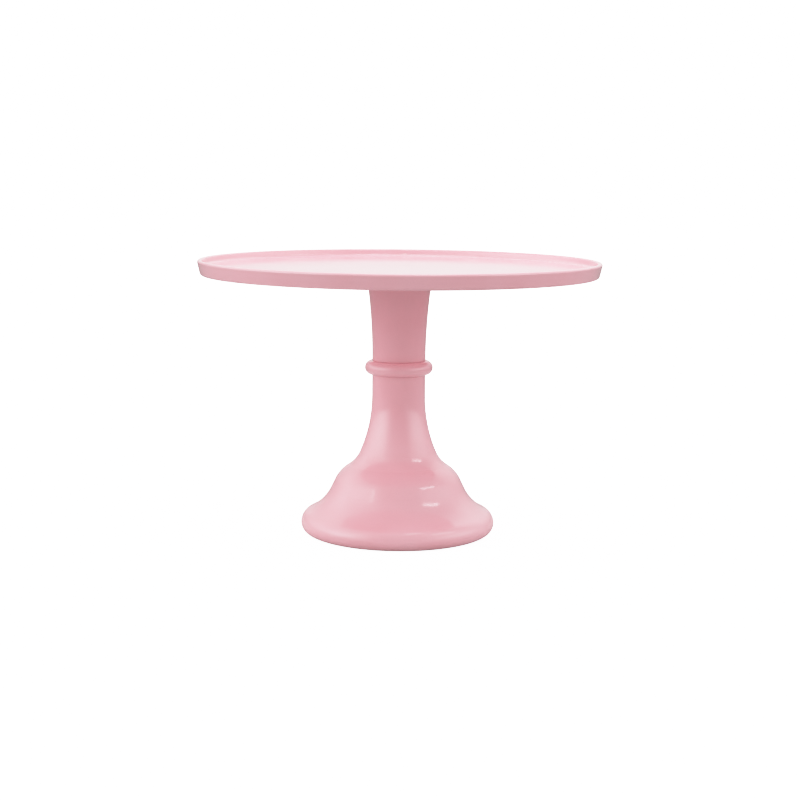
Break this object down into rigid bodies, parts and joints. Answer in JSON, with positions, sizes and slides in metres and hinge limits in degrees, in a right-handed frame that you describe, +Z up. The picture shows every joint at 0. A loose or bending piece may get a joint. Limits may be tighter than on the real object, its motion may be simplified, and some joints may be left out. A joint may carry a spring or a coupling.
{
  "type": "cake stand",
  "caption": "Round pedestal cake stand: a rimmed plate on a tapered stem with a half-round collar and a stepped, bell-shaped foot.",
  "frame": {"origin": "centre of the foot's underside, on the surface that the stand rests on", "axes": "+Z up along the stand's axis of revolution; +X and +Y are free, since the outside is round"},
  "size_m": [0.3, 0.3, 0.206],
  "materials": {
    "plate_melamine": "pink melamine, polished in the mould",
    "stem_melamine": "pink melamine, polished in the mould",
    "brass": "turned, plain",
    "silicone": "translucent white silicone",
    "black_rubber": "matt black rubber",
    "zinc_steel": "bright zinc plate"
  },
  "bodies": {
    "root": {"plate": "plate_melamine", "plate_insert": "brass", "plate_gasket": "silicone", "neck": "stem_melamine", "collar_ring": "stem_melamine", "bell_base": "stem_melamine", "cushion_washer": "black_rubber", "flat_washer": "zinc_steel", "spring_washer": "zinc_steel", "tie_bolt": "zinc_steel"}
  },
  "joints": []
}
